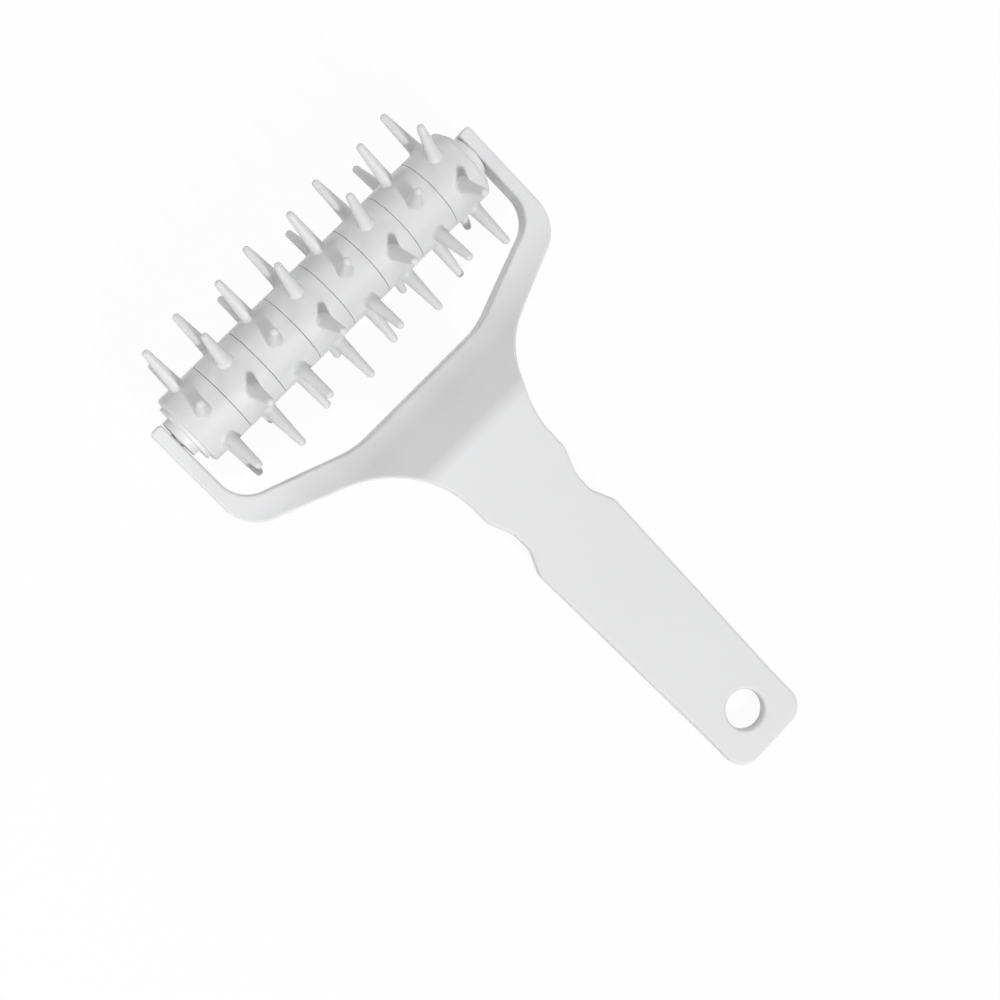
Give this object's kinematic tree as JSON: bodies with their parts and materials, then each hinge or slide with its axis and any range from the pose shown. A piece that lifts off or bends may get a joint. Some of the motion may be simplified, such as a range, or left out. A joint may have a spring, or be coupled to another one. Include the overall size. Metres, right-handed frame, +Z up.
{
  "type": "dough docker",
  "caption": "Hand-held dough docker: a roller of keyed spiked rings turns freely between the arms of a forked handle with a hang hole.",
  "frame": {"origin": "on the ground under the middle of the tool's bounding box, as it lies with its spikes and the end of its handle on a table", "axes": "+X along the roller's axis, +Y from the end of the handle towards the roller, +Z up"},
  "size_m": [0.1256, 0.2036, 0.0509],
  "materials": {
    "handle_plastic": "moulded white plastic with a soft sheen",
    "spindle_plastic": "moulded white plastic, hidden inside the rings",
    "cap_plastic": "moulded white plastic with a soft sheen",
    "ring_plastic": "moulded white plastic, a little glossier than the handle"
  },
  "bodies": {
    "handle": {"forked_handle": "handle_plastic"},
    "roller": {"spindle": "spindle_plastic", "end_cap_left": "cap_plastic", "end_cap_right": "cap_plastic", "spiked_ring_1": "ring_plastic", "spiked_ring_2": "ring_plastic", "spiked_ring_3": "ring_plastic", "spiked_ring_4": "ring_plastic", "spiked_ring_5": "ring_plastic", "spiked_ring_6": "ring_plastic", "spiked_ring_7": "ring_plastic", "spiked_ring_8": "ring_plastic"}
  },
  "joints": [
    {"name": "roller_spin", "type": "hinge", "parent": "handle", "child": "roller", "pos_m": [0, 0.07636, 0.02545], "axis": [1, 0, 0], "continuous": true}
  ]
}
